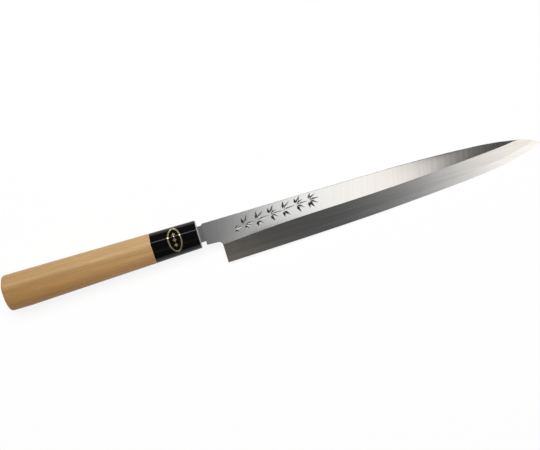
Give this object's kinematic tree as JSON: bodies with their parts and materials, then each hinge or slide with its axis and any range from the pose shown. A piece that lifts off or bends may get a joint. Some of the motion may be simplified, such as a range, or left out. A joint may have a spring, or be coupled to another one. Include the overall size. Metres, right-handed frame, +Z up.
{
  "type": "yanagiba knife",
  "caption": "Long single-bevel slicing knife: two-layer blade with a hollow-ground back, black ferrule and D-shaped wooden handle.",
  "frame": {"origin": "middle of the knife's bounding box, on the table that it lies on", "axes": "+X from the butt to the tip, +Y from the cutting edge to the spine, +Z up from the table. The knife lies on its flat back as it rests by itself, on the ferrule's rim and the cutting edge near the tip: 1.27 degrees tip down and 6.5 degrees edge down from level."},
  "size_m": [0.3826, 0.0345, 0.0209],
  "materials": {
    "iron": "satin, ground across the blade",
    "steel": "fine polished, ground along the edge",
    "ferrule": "gloss",
    "wood": "pale magnolia wood, sanded, no varnish",
    "packing": "matte"
  },
  "bodies": {
    "root": {"blade_iron": "iron", "blade_steel": "steel", "ferrule": "ferrule", "grip": "wood", "tang_seal": "packing"}
  },
  "joints": []
}
